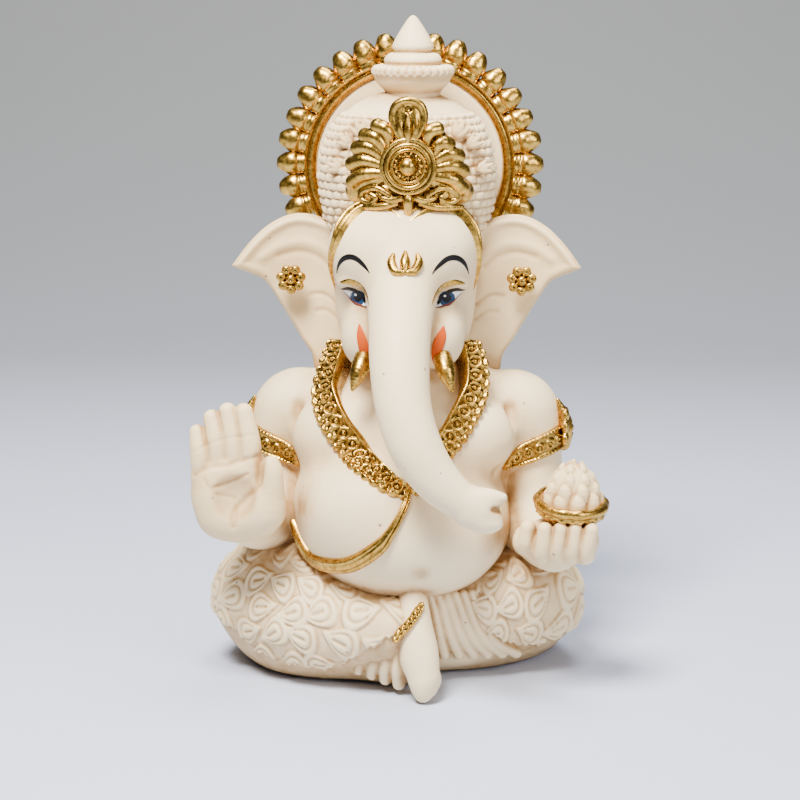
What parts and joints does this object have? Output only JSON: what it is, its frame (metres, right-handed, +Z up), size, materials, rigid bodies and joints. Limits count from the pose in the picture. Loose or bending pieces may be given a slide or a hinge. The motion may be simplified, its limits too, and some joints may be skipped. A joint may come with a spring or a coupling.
{
  "type": "ganesha idol",
  "caption": "Seated elephant-headed devotional figure, ivory with gold ornament: tall crown, rayed halo, long trunk, open raised palm and a bowl of sweets.",
  "frame": {"origin": "on the flat underside of the base, below the middle of the head", "axes": "+Z up, the figure faces -Y, its right hand is at -X"},
  "size_m": [0.0844, 0.072, 0.1366],
  "materials": {
    "ivory_resin": "satin ivory cast resin with a warm tan wash in the recesses",
    "gold_paint": "brushed-on metallic gold paint, darker in the grooves"
  },
  "bodies": {
    "root": {"torso": "ivory_resin", "seat": "ivory_resin", "right_leg": "ivory_resin", "left_leg": "ivory_resin", "right_arm": "ivory_resin", "left_arm": "ivory_resin", "right_hand": "ivory_resin", "left_hand": "ivory_resin", "right_foot": "ivory_resin", "hem_ruffle": "ivory_resin", "dhoti_pleats": "ivory_resin", "head": "ivory_resin", "crown_cap": "ivory_resin", "lotus_tier": "ivory_resin", "upper_tier": "ivory_resin", "finial_bud": "ivory_resin", "right_ear": "ivory_resin", "left_ear": "ivory_resin", "halo_disc": "ivory_resin", "sweets": "ivory_resin", "right_tusk": "gold_paint", "left_tusk": "gold_paint", "crown_band": "gold_paint", "crown_plaque": "gold_paint", "crown_leaf": "gold_paint", "crown_boss": "gold_paint", "halo_ring": "gold_paint", "necklace": "gold_paint", "sacred_thread": "gold_paint", "right_armlet": "gold_paint", "right_armlet_leaf": "gold_paint", "left_armlet": "gold_paint", "left_armlet_leaf": "gold_paint", "anklet": "gold_paint", "bowl": "gold_paint", "right_ear_flower": "gold_paint", "left_ear_flower": "gold_paint", "tilak": "gold_paint", "halo_ray_01": "gold_paint", "halo_ray_02": "gold_paint", "halo_ray_03": "gold_paint", "halo_ray_04": "gold_paint", "halo_ray_05": "gold_paint", "halo_ray_06": "gold_paint", "halo_ray_07": "gold_paint", "halo_ray_08": "gold_paint", "halo_ray_09": "gold_paint", "halo_ray_10": "gold_paint", "halo_ray_11": "gold_paint", "halo_ray_12": "gold_paint", "halo_ray_13": "gold_paint", "halo_ray_14": "gold_paint", "halo_ray_15": "gold_paint", "halo_ray_16": "gold_paint", "halo_ray_17": "gold_paint", "halo_ray_18": "gold_paint", "halo_ray_19": "gold_paint", "halo_ray_20": "gold_paint", "halo_ray_21": "gold_paint"}
  },
  "joints": []
}
